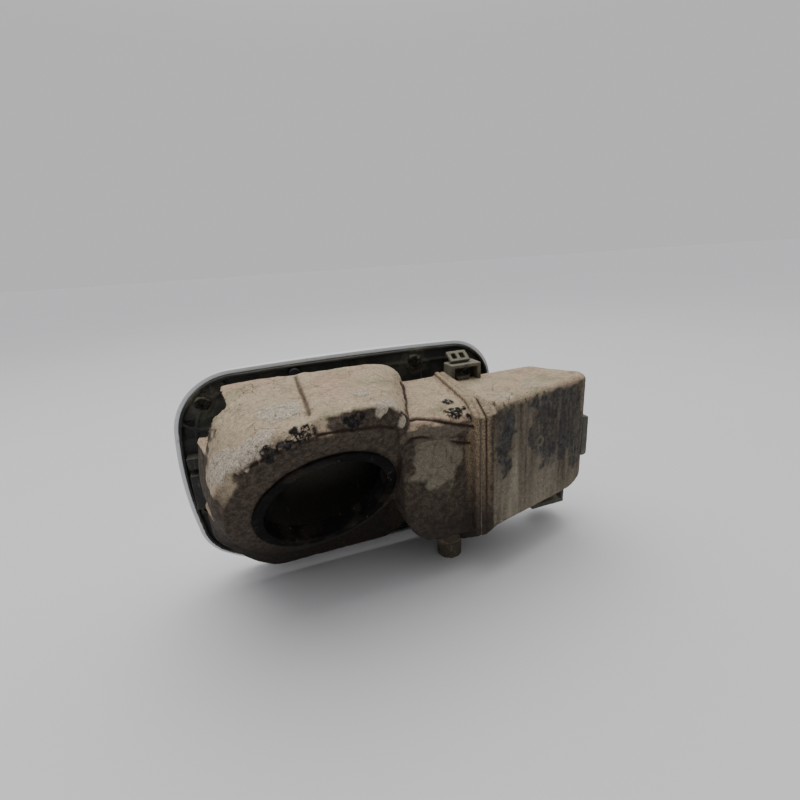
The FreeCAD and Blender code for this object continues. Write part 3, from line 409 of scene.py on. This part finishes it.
def mud_material():
    """Dried mud: pale dust on top, brown sides partly darkened as painted shade, crackled crust, dark chunks,
    grooves darkened as painted shade.
    """
    s = Shader("mud")
    fine = s.noise(1.4, 4.0, 0.65)
    grain = s.noise(0.35, 5.0, 0.6)
    flakes = s.crackle(0.8, 0.6)
    crust = s.math("MULTIPLY", s.painted("crust"), s.step(s.noise(0.3, 4.0, 0.65), 0.32, 0.46))
    colour = s.mix(s.painted("light"), side_colour(s, grain, fine), dust_colour(s, flakes, crust))
    # grime with painted shade, darker towards the bottom
    colour = s.mix(s.painted("grime_and_shade"), colour, GRIME_AND_SHADE)
    cracks = crack_lines(s)
    colour = s.mix(s.math("MULTIPLY", cracks, 0.7), colour, CRACK)
    specks = s.step(s.noise(0.8, 3.0, 0.6), 0.63, 0.69)
    colour = s.mix(s.math("MULTIPLY", specks, 0.75), colour, SPECK)
    # dark seams, and painted shade along ledges and creases
    colour = s.mix(s.painted("seam_and_groove_shade"), colour, GROOVE_SHADE_AND_SEAM)
    chunks = s.math("MULTIPLY", s.painted("black"), s.step(s.noise(0.45, 4.0, 0.7), 0.4, 0.5))
    colour = s.mix(chunks, colour, s.mix(s.step(grain, 0.45, 0.65), CHUNK_DARK, CHUNK_PALE))
    colour = s.shaded(colour, s.noise(0.5, 6.0, 0.75), 0.32, 0.68, 0.8, 1.16)
    colour = s.shaded(colour, fine, 0.3, 0.7, 0.76, 1.17)
    normal = s.bump(grain, 1.0, 0.55)
    normal = s.bump(fine, 0.3, 0.6, normal)
    normal = s.bump(s.math("SUBTRACT", 1.0, cracks), 0.35, 0.7, normal)
    normal = s.bump(s.math("MULTIPLY", s.step(flakes, 0.0, 0.1), crust), 0.35, 0.6, normal)
    return s.finish(colour, 0.93, normal, specular=0.18)


def plastic_material(name, colour, dust_and_painted_light_colour, rough, bumps=0.35, shine=0.3):
    """Moulded plastic with settled dust, which on the carrier also carries painted light and shade: its
    colour, the dust's colour, roughness.
    """
    s = Shader(name)
    patch = s.noise(0.09, 5.0, 0.65)
    fine = s.noise(1.1, 4.0, 0.65)
    # dust; on the carrier also painted light behind the neck hole
    amount = s.math("MAXIMUM", s.step(patch, 0.5, 0.78, 0.0, 0.6), s.painted("dirt_and_shading"))
    base = s.mix(amount, colour, dust_and_painted_light_colour)
    scratches = s.noise(0.5, 2.0, 0.5, stretch=(1.0, 1.0, 0.12))
    base = s.mix(s.step(scratches, 0.68, 0.74, 0.0, 0.35), base, SCRATCH)
    base = s.shaded(base, fine, 0.3, 0.7, 0.75, 1.2)
    normal = s.bump(patch, 0.6, bumps)
    normal = s.bump(fine, 0.25, bumps, normal)
    return s.finish(base, rough, normal, specular=shine)


def paint_material():
    """Light car paint with a little dirt, and painted shade under the lower rim."""
    s = Shader("body_paint")
    cloud = s.noise(0.02)
    colour = s.mix(cloud, PAINT, PAINT_PALE)
    dirt_and_shading = s.step(s.noise(0.25, 5.0, 0.7), 0.6, 0.75, 0.0, 0.5)
    # dirt, and painted shade under the lower rim
    colour = s.mix(s.math("MAXIMUM", dirt_and_shading, s.painted("dirt_and_shading")), colour, PAINT_DIRT_AND_SHADE)
    return s.finish(colour, 0.32, s.bump(s.noise(0.5), 0.05, 0.2))


def plain_material(name, colour, rough, metallic=0.0):
    """One colour, a little uneven."""
    s = Shader(name)
    tone = s.shaded(colour, s.noise(0.3, 4.0, 0.6), 0.3, 0.7, 0.8, 1.15)
    return s.finish(tone, rough, s.bump(s.noise(1.2), 0.15, 0.3), metallic)


mud = mud_material()
carrier_plastic = plastic_material(
    "carrier_plastic", (0.03, 0.032, 0.029), (0.075, 0.072, 0.052), 0.62)
clip_plastic = plastic_material(
    "clip_plastic", (0.1, 0.098, 0.077), (0.2, 0.183, 0.135), 0.8)
caked_plastic = plastic_material(
    "caked_plastic", (0.02, 0.02, 0.016), (0.15, 0.14, 0.1), 0.85, bumps=0.8, shine=0.15)
arm_plastic = plastic_material(
    "arm_plastic", (0.02, 0.02, 0.022), (0.07, 0.062, 0.05), 0.55)
seal_dirty = plastic_material(
    "seal_dirty", (0.007, 0.006, 0.006), (0.036, 0.029, 0.023), 0.85, bumps=0.5, shine=0.1)
rubber = plain_material("seal_rubber", (0.012, 0.0105, 0.0098), 0.7)
dull_steel = plain_material("dull_steel", (0.07, 0.055, 0.042), 0.7, 0.3)
steel = plain_material("screw_steel", (0.4, 0.39, 0.38), 0.42, 1.0)
bush_plastic = plain_material("bush_plastic", (0.5, 0.48, 0.42), 0.5)
paint_white = paint_material()


# ---- pieces --------------------------------------------------------------------------------------
def dressed(obj, material, body, slot, *nodes):
    """Gives a piece its material and its body, and hides the CAD nodes it stands for; the slot is not used.
    """
    obj.data.materials.clear()
    obj.data.materials.append(material)
    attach(obj, body)
    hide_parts(*nodes)


VOXEL = 0.75           # of the large pieces, millimetres
SMALL_VOXEL = 0.45
THIN_VOXEL = 0.35                             # of the snap frames
GASKET_VOXEL = 0.4
CLIP_PLACES = [(-82, 115), (45, 122.5), (-78, 24), (70, 18)]  # skin clips, x and z

# places of what shows in the mud: lines (dark seams, and ledges and creases darkened as painted shade), and
# patches with their radius
SEAM = [(-31, -18, 127), (-31, -38, 124.5), (-30.5, -51, 122.5), (-30.5, -68, 120),
        (-30, -76.5, 116), (-29.5, -78, 112)]
SEAM_RIB = [(-27, -18, 127), (-27, -38, 124.5), (-26.5, -51, 122.5), (-26.5, -68, 120.3),
            (-26, -77, 116), (-25.5, -79, 111)]
LEDGE_LINE = [(17, -59, 104.5), (24, -58.5, 105), (34, -61, 103), (44, -63, 100), (54, -64, 97)]
LOWER_LINE = [(14, -62, 92), (19, -63.5, 97), (25, -63.5, 96.5), (35, -62, 93), (46, -60, 88),
              (54, -60, 86)]
UPRIGHT_LINE = [(12, -65, 104), (11.5, -65, 98), (13, -59, 85), (14, -51, 68)]
SHOULDER_LINE = [(-29, -78, 114), (-19, -77, 113.5), (-10, -75, 112), (1, -71.5, 110), (9, -67, 106)]
CREASE_LINE = [(-70, -67, 96), (-62, -73, 102), (-52, -77, 107.5), (-41, -78.5, 111), (-30, -78, 113)]
CRUST_SPOTS = [((-42, -58, 120), 9), ((-48, -55, 119), 6), ((-52, -72, 113.5), 7),
               ((-59, -70, 110), 6), ((-70, -64, 102), 9), ((-63, -72, 106), 6),
               ((-3, -56, 122), 4.5), ((2, -69, 118.5), 5), ((9, -64, 117), 5),
               ((13, -65, 108), 3), ((-76, -55, 98), 8)]
BLACK_SPOTS = [((-37, -77, 114.5), 4), ((-33, -76, 116.5), 3), ((-41, -78, 112), 3.5),
               ((-51, -77, 109), 4), ((-45, -77, 111.5), 3), ((-13, -75, 116), 4),
               ((-9, -73.5, 117), 3), ((46, -50, 107), 4), ((45, -59, 105), 4.5),
               ((52, -62, 102), 2.5), ((52, -57, 105), 2)]
BOX_CRUST_SPOTS = [((75, -60, 110), 6), ((100, -50, 110), 8)]
BOX_EDGE = [(60, -69, 110), (140, -48, 110)]
BOX_EDGE_DIRT = [(66, -68, 108), (90, -62, 106)]
BOX_LINE = [(60, -30, 116), (60, -56, 110), (60, -67, 102), (60, -67, 30)]
RING_CENTRE = np.array([100, -59.4, 77.6])    # pale ring on the box's back
RING_R = 2.6
# patches: middle and reach along each axis
HOOD = ((-72, -56, 97), (15, 24, 15))
PANEL = ((33, -60, 79), (14, 12, 18))
LEDGE_BAND = ((34, -62, 98), (24, 5, 5))
LEFT_SLATE = ((71.5, -67, 90), (6.5, 20, 22))
RIGHT_SLATE = ((113, -55, 88), (25, 20, 28))
FAR_SLATE = ((134, -50, 72), (9, 20, 24))
# painted light: a pale patch on the carrier's back, seen through the neck hole
PAINTED_LIGHT_BEHIND_NECK = ((-20, -1, 38), (44, 12, 28))
# where the masks change, each from one value to another
BEHIND_MOUTH = (12.5, 14.5)                   # distance behind the flap's rim
# grime with painted shade: pot and hinge box get darker towards the floor between these heights
POT_GRIME_AND_SHADE = (-62.0, -34.0)                    # minus the height
BOX_GRIME_AND_SHADE = (-50.0, -36.0)
POT_RIGHT_PART = (12.0, 22.0)                 # x
BOX_TOP = (107.0, 109.0)                      # height
BAND_EDGE = (4.5, 6.5)                        # distance from the joint
NECK_FACE_DEPTH = 3.0                         # the neck's face is smoother than the rest
NECK_FACE_R = 60.0
BOX_FLANGE_X = 67.0                           # left of this the box is as uneven as the pot
BOX_BACK_FROM_X = 63.0
BOX_INNER_DEPTH = 1.3                         # deeper than this behind the back is inside
BOX_INNER_X = 60.0
BOX_INNER_Z = (36.3, 108.7)
BAND_DUST_LOSS = 0.35                         # the joint's band carries less pale dust
SAND_FROM = 35.0                              # the band's sand shows above this height
SAND_FULL = 95.0


def light_from_above(points, normals, seed):
    """How much pale dust lies on the surface: most on what faces up."""
    return rise(normals[:, 2] + 0.22 * layered(points, 9.0, 3, seed), 0.15, 0.6)


def near_joint(points):
    """1 on the sandy band over the joint of pot and hinge box."""
    away = np.abs(points[:, 0] - JOINT_X) + 1.2 * layered(points, 5.0, 3, 151)
    return 1 - rise(away, *BAND_EDGE)


def joint_height(points, joint):
    """Height of the sand on that band, in millimetres."""
    return joint * (0.3 + 0.3 * layered(points, 4.0, 3, 45))


def strongest(*masks):
    """The largest of several masks at each vertex."""
    return np.maximum.reduce(masks)


def stretched(points, along_z):
    """Places squeezed along Z, so that noise on them runs down in streaks."""
    return points * np.array([1.0, 1.0, along_z])


def make_pot():
    """The pot: dust on top, crust and black chunks on its shoulder, grooves with painted shade, a lower part
    darkened by grime and painted shade.
    """
    pot = even_mesh("pot_mud", ["filler_pot"], VOXEL, 5)
    points, normals = read_vertices(pot)
    along = (points - NECK_CENTRE) @ NECK_NORMAL
    across = np.linalg.norm(points - NECK_CENTRE - along[:, None] * NECK_NORMAL, axis=1)
    neck_face = (np.abs(along) < NECK_FACE_DEPTH) & (across < NECK_FACE_R)
    behind_mouth = rise(-points[:, 1], *BEHIND_MOUTH)
    crust = near_spots(points, CRUST_SPOTS, 31)
    black = near_spots(points, BLACK_SPOTS, 37, 0.6)
    joint = near_joint(points)

    # pale dust on what faces up; elsewhere the darker side colour shows, partly painted shade
    ragged = normals[:, 2] + 0.16 * layered(points, 9.0, 3, 5) + 0.14 * layered(points, 3.0, 3, 6)
    light = rise(ragged, 0.42, 0.58)
    hood = near_patch(points, *HOOD, 49, 0.5) * rise(normals[:, 2], -0.1, 0.3)
    light = np.maximum(light, 0.9 * hood)
    # grime with painted shade, darker towards the bottom
    grime_and_shade = rise(-points[:, 2] + 8 * layered(points, 14.0, 3, 7), *POT_GRIME_AND_SHADE) * (1 - light)
    light = np.maximum(light, rise(crust, 0.2, 0.6))

    seam = near_line(points, SEAM, 1.5)
    # ledges, creases and the shoulder: carved as grooves and darkened as painted shade
    groove_shade_lines = strongest(near_line(points, LEDGE_LINE, 1.4), near_line(points, LOWER_LINE, 1.1),
                      near_line(points, SHOULDER_LINE, 1.1),
                      0.8 * near_line(points, UPRIGHT_LINE, 1.6),
                      0.8 * near_line(points, CREASE_LINE, 1.2))
    height = lumps(points, 3, 0.55, 0.22, 0.1)
    height[neck_face] *= 0.5
    height += 0.8 * near_line(points, SEAM_RIB, 6.0) - 0.9 * seam - 0.9 * groove_shade_lines + 0.7 * light
    height += crust * (0.35 + 0.45 * layered(points, 2.0, 3, 41))
    height += black * (0.5 + 1.1 * layered(points, 2.2, 3, 43))
    height += joint_height(points, joint)
    write_vertices(pot, points + normals * (height * behind_mouth)[:, None])

    panel = near_patch(points, *PANEL, 47, 0.5)
    band = near_patch(points, *LEDGE_BAND, 48, 0.5)
    right_part = rise(points[:, 0], *POT_RIGHT_PART)
    paint(pot, "light", light * (1 - BAND_DUST_LOSS * joint))
    paint(pot, "grime_and_shade", 0.95 * grime_and_shade * (1 - 0.35 * right_part))
    paint(pot, "crust", crust)
    paint(pot, "black", black)
    paint(pot, "seam_and_groove_shade", np.maximum(0.75 * seam, groove_shade_lines))
    paint(pot, "streak", np.maximum(0.55 * panel, 0.25 * band))
    paint(pot, "slate", np.zeros(len(points)))
    paint(pot, "sand", joint * rise(points[:, 2], SAND_FROM, SAND_FULL))
    dressed(pot, mud, "housing", "pot_plastic", "filler_pot")


def make_hinge_box():
    """The hinge box: dust on top, streaks and slate-grey patches on its back."""
    box = even_mesh("box_mud", ["hinge_box"], VOXEL, 4)
    points, normals = read_vertices(box)
    start_x, start_y = BOX_BACK_START
    back_y = start_y + (points[:, 0] - start_x) * math.tan(BOX_BACK_TURN)
    depth = (points[:, 1] - back_y) * math.cos(BOX_BACK_TURN)
    floor_z, ceiling_z = BOX_INNER_Z
    between_walls = (points[:, 2] > floor_z) & (points[:, 2] < ceiling_z) & (points[:, 0] > BOX_INNER_X)
    back = rise(1.2 - depth, 0.0, 0.8) * (points[:, 0] > BOX_BACK_FROM_X)
    uneven = np.maximum(rise(points[:, 2], *BOX_TOP), points[:, 0] < BOX_FLANGE_X)
    joint = near_joint(points)
    streaks = layered(stretched(points, 0.1), 6.0, 3, 57)
    fine_streaks = layered(stretched(points, 0.05), 2.0, 3, 61)
    flecks = layered(stretched(points, 0.3), 2.6, 3, 65)

    height = lumps(points, 53, 0.35, 0.15, 0.08) * (0.35 + 0.65 * uneven)
    height[(depth > BOX_INNER_DEPTH) & between_walls] = 0
    height += joint_height(points, joint)
    write_vertices(box, points + normals * height[:, None])

    left_patch = near_patch(points, *LEFT_SLATE, 63, 0.7)
    right_patch = near_patch(points, *RIGHT_SLATE, 67, 0.5)
    far_patch = near_patch(points, *FAR_SLATE, 69, 0.6)
    slate = strongest(left_patch, right_patch, 0.8 * far_patch)
    slate = np.clip(slate * (0.95 + 0.9 * fine_streaks + 0.7 * flecks), 0, 0.95) * back
    from_ring = np.linalg.norm((points - RING_CENTRE) * np.array([1, 0.3, 1]), axis=1) - RING_R
    slate *= 1 - 0.8 * (1 - rise(np.abs(from_ring), 0.4, 1.3))
    edge = near_line(points, BOX_EDGE, 6.0) * rise(layered(points, 4.0, 3, 73), -0.3, 0.1)
    # pale dust on what faces up; elsewhere the darker side colour shows, partly painted shade
    light = np.maximum(light_from_above(points, normals, 71), 0.8 * edge)
    light *= 1 - BAND_DUST_LOSS * joint
    # grime with painted shade, darker towards the bottom
    grime_and_shade = rise(-points[:, 2] + 6 * layered(points, 10.0, 3, 77), *BOX_GRIME_AND_SHADE)
    low_left = rise(-points[:, 2] - 0.5 * points[:, 0], -125.0, -85.0)
    streak = np.clip(0.34 + 0.26 * low_left + 0.45 * streaks + 0.3 * fine_streaks, 0, 1)
    paint(box, "light", light)
    paint(box, "grime_and_shade", 0.7 * grime_and_shade * (1 - light) * (1 - back))
    paint(box, "crust", 0.5 * near_spots(points, BOX_CRUST_SPOTS, 79))
    paint(box, "black", 0.8 * near_line(points, BOX_EDGE_DIRT, 2.5) * (streaks > 0))
    paint(box, "seam_and_groove_shade", near_line(points, BOX_LINE, 1.0))
    paint(box, "streak", back * streak)
    paint(box, "slate", slate)
    paint(box, "sand", joint * rise(points[:, 2], SAND_FROM, SAND_FULL))
    dressed(box, mud, "housing", "box_plastic", "hinge_box")


def make_small(name, node, body, slot, material, voxel, steps, rough, seed, top_dirt=0.8):
    """A smaller piece: even mesh, uneven surface, dirt on what faces up."""
    obj = even_mesh(name, [node], voxel, steps)
    points, normals = read_vertices(obj)
    height = rough * (layered(points, 4.0, 3, seed) + 0.4 * value_noise(points, 1.3, seed + 5))
    write_vertices(obj, points + normals * height[:, None])
    light = light_from_above(points, normals, seed + 9)
    patches = rise(layered(points, 8.0, 4, seed + 13), 0.1, 0.5)
    if material == mud:
        # pale dust on what faces up; elsewhere the darker side colour shows, partly painted shade
        paint(obj, "light", light)
        # grime with painted shade, darker towards the bottom
        paint(obj, "grime_and_shade", 0.3 * (1 - light) * rise(-points[:, 2], -60.0, -20.0))
        for layer in ("crust", "black", "seam_and_groove_shade", "slate", "sand"):
            paint(obj, layer, np.zeros(len(points)))
        paint(obj, "streak", 0.35 + 0.4 * patches)
    else:
        paint(obj, "dirt_and_shading", np.clip(top_dirt * light + 0.6 * patches, 0, 1))
    dressed(obj, material, body, slot, node)


def make_carrier():
    """The flap's inner panel: dark plastic, mud caked round the clips and in the corners, painted light
    behind the neck hole, painted shade low down.
    """
    carrier = even_mesh("carrier_dirt_and_shading", ["flap_carrier"], VOXEL, 1)
    points, normals = read_vertices(carrier)
    inner_side = rise(-points[:, 1], -0.6, 0.2)
    clips = near_spots(points, [((x, -2, z), 10) for x, z in CLIP_PLACES], 83, 0.5)
    patches = rise(layered(points, 12.0, 4, 87), 0.15, 0.6)
    # dust thins out lower down, keeping the lower carrier dark: partly painted shade
    high = rise(points[:, 2], 45.0, 100.0)
    # painted light on the carrier's back behind the neck hole
    painted_light_behind_neck = near_patch(points, *PAINTED_LIGHT_BEHIND_NECK, 93, 0.3)
    dirt_and_shading = 0.7 * painted_light_behind_neck + 0.85 * clips + (0.2 + 0.35 * high) * patches
    dirt_and_shading += 0.4 * high * rise(normals[:, 2], 0.3, 0.8)
    height = (0.12 + 0.35 * clips) * layered(points, 3.0, 3, 89) + 0.25 * clips
    write_vertices(carrier, points + normals * (height * inner_side)[:, None])
    paint(carrier, "dirt_and_shading", np.clip(dirt_and_shading, 0, 1) * inner_side)
    dressed(carrier, carrier_plastic, "flap", "carrier_plastic", "flap_carrier")


def make_skin():
    """The painted panel, with rounded edges, and a little dirt with painted shade under its lower rim."""
    skin = merged_copy("skin_painted", ["flap_skin"])
    bevel = skin.modifiers.new("edges", "BEVEL")
    bevel.width = 0.0005
    bevel.segments = 3
    bevel.limit_method = "ANGLE"
    bevel.angle_limit = math.radians(25)
    skin.data.polygons.foreach_set("use_smooth", np.ones(len(skin.data.polygons), bool))
    weighted = skin.modifiers.new("normals", "WEIGHTED_NORMAL")
    weighted.keep_sharp = True
    points, _ = read_vertices(skin)
    # painted shade with a little dirt: the back of the lower rim darkens towards its bottom edge
    low_rim_dirt_and_shade = rise(-points[:, 2], -14.0, -4.0) * rise(-points[:, 1], -2.0, 0.5)
    paint(skin, "dirt_and_shading", low_rim_dirt_and_shade * rise(points[:, 0], -75.0, -50.0))
    dressed(skin, paint_white, "flap", "body_paint", "flap_skin")


make_pot()
make_hinge_box()
make_carrier()
make_skin()

# smaller pieces: name, CAD node, body, slot, material, voxel, softening steps, unevenness, seed,
# and for some how much dirt lies on top
SMALL_PIECES = [
    ("clips_caked", "skin_clips", "flap", "carrier_plastic", caked_plastic, SMALL_VOXEL, 2, 1.7, 101),
    ("seal_worn", "neck_seal", "housing", "seal_rubber", seal_dirty, SMALL_VOXEL, 2, 0.18, 103, 0.1),
    ("seam_mud", "joint_gasket", "housing", "seal_rubber", mud, GASKET_VOXEL, 1, 0.1, 105),
    ("spigot_mud", "drain_spigot", "housing", "drain_plastic", mud, SMALL_VOXEL, 2, 0.35, 107),
    ("loop_top_dusty", "top_clip_bracket", "housing", "clip_plastic", clip_plastic, SMALL_VOXEL, 1,
     0.15, 109),
    ("clip_top_dusty", "top_body_clip", "housing", "clip_plastic", clip_plastic, THIN_VOXEL, 1, 0.1, 113),
    ("loop_low_dusty", "bottom_clip_bracket", "housing", "clip_plastic", clip_plastic, SMALL_VOXEL, 1,
     0.2, 127),
    ("clip_low_dusty", "bottom_body_clip", "housing", "clip_plastic", clip_plastic, THIN_VOXEL, 1, 0.1, 131),
    ("striker_dirty", "latch_striker", "flap", "carrier_plastic", carrier_plastic, SMALL_VOXEL, 1, 0.25, 137),
    ("cover_dusty", "pivot_cover", "housing", "box_plastic", clip_plastic, SMALL_VOXEL, 2, 0.12, 139),
    ("arm_dusty", "hinge_arm", "flap", "arm_plastic", arm_plastic, SMALL_VOXEL, 1, 0.05, 149, 0.5),
]
for small_piece in SMALL_PIECES:
    make_small(*small_piece)

# CAD nodes shown as they are: material, slot, nodes
PLAIN = [
    (steel, "screw_steel", ["joint_screws", "hinge_pin", "pin_clip", "detent_spring", "detent_rivets",
                            "arm_screws"]),
    (dull_steel, "screw_steel", ["striker_screw"]),
    (rubber, "seal_rubber", ["flap_buffers"]),
    (bush_plastic, "bush_plastic", ["hinge_bush_lower", "hinge_bush_upper"]),
]
for material, slot, nodes in PLAIN:
    for node in nodes:
        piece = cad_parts[node]
        piece.data.materials.clear()
        piece.data.materials.append(material)

# ---- camera, light and floor ---------------------------------------------------------------------
CAMERA_PLACE = (-46.5, -252.4, 183.4)         # in the design's millimetres
RIGHT = Vector((0.94345, -0.32498, -0.0655))
UP = Vector((0.16006, 0.27349, 0.94846))
FORWARD = Vector((0.29032, 0.90531, -0.31004))
SENSOR = 36.0
LENS = 19.12
WORLD_COLOUR = (0.97, 0.97, 1.0, 1.0)
FLOOR_SIZE = 40.0
FLOOR_PLACE = (0.0, 18.0, 0.0)
FLOOR_COLOUR = (0.7, 0.7, 0.705)
FLOOR_PALE = (0.74, 0.74, 0.745)

camera = bpy.data.objects.new("camera", bpy.data.cameras.new("camera"))
bpy.context.scene.collection.objects.link(camera)
turn = Matrix((RIGHT, UP, -FORWARD)).transposed()
camera.matrix_world = Matrix.Translation(row(CAMERA_PLACE)) @ turn.to_4x4()
camera.data.sensor_width = SENSOR
camera.data.lens = LENS
camera.data.clip_start = 0.01
camera.data.clip_end = 20.0
bpy.context.scene.camera = camera

world = bpy.data.worlds.new("tent")
world.use_nodes = True
tree = world.node_tree
sky = tree.nodes["Background"]
direction = tree.nodes.new("ShaderNodeTexCoord")
split = tree.nodes.new("ShaderNodeSeparateXYZ")
tree.links.new(direction.outputs["Generated"], split.inputs[0])


def sky_step(socket, low, high, out_low, out_high):
    """Strength of the world's light that changes smoothly with the direction."""
    node = tree.nodes.new("ShaderNodeMapRange")
    node.interpolation_type = "SMOOTHSTEP"
    tree.links.new(split.outputs[socket], node.inputs["Value"])
    node.inputs["From Min"].default_value = low
    node.inputs["From Max"].default_value = high
    node.inputs["To Min"].default_value = out_low
    node.inputs["To Max"].default_value = out_high
    return node.outputs["Result"]


# the tent is pale behind the object and above it, dim on the near side: direction and strength
SIDES = (-0.5, 0.4, 0.15, 0.6)
ABOVE = (0.35, 0.95, 0.0, 0.85)
sides = sky_step("Y", *SIDES)
above = sky_step("Z", *ABOVE)
total = tree.nodes.new("ShaderNodeMath")
tree.links.new(sides, total.inputs[0])
tree.links.new(above, total.inputs[1])
tree.links.new(total.outputs[0], sky.inputs["Strength"])
sky.inputs["Color"].default_value = WORLD_COLOUR
bpy.context.scene.world = world


def area_light(name, place, aim, width, depth, power):
    """Rectangular lamp at a place, turned towards another; metres and watts."""
    lamp = bpy.data.lights.new(name, "AREA")
    lamp.shape = "RECTANGLE"
    lamp.size = width
    lamp.size_y = depth
    lamp.energy = power
    obj = bpy.data.objects.new(name, lamp)
    bpy.context.scene.collection.objects.link(obj)
    obj.location = place
    obj.rotation_euler = (Vector(aim) - Vector(place)).to_track_quat("-Z", "Y").to_euler()


area_light("tent_top", (-0.1, 0.2, 1.1), (0.0, 0.0, 0.0), width=1.2, depth=1.0, power=6.0)

bpy.ops.mesh.primitive_plane_add(size=FLOOR_SIZE, location=FLOOR_PLACE)
floor = bpy.context.active_object
floor.name = "floor"
floor_shader = Shader("floor_pale")
tone = floor_shader.mix(floor_shader.noise(0.004, 2.0), FLOOR_COLOUR, FLOOR_PALE)
floor.data.materials.append(floor_shader.finish(tone, 0.7, specular=0.2))
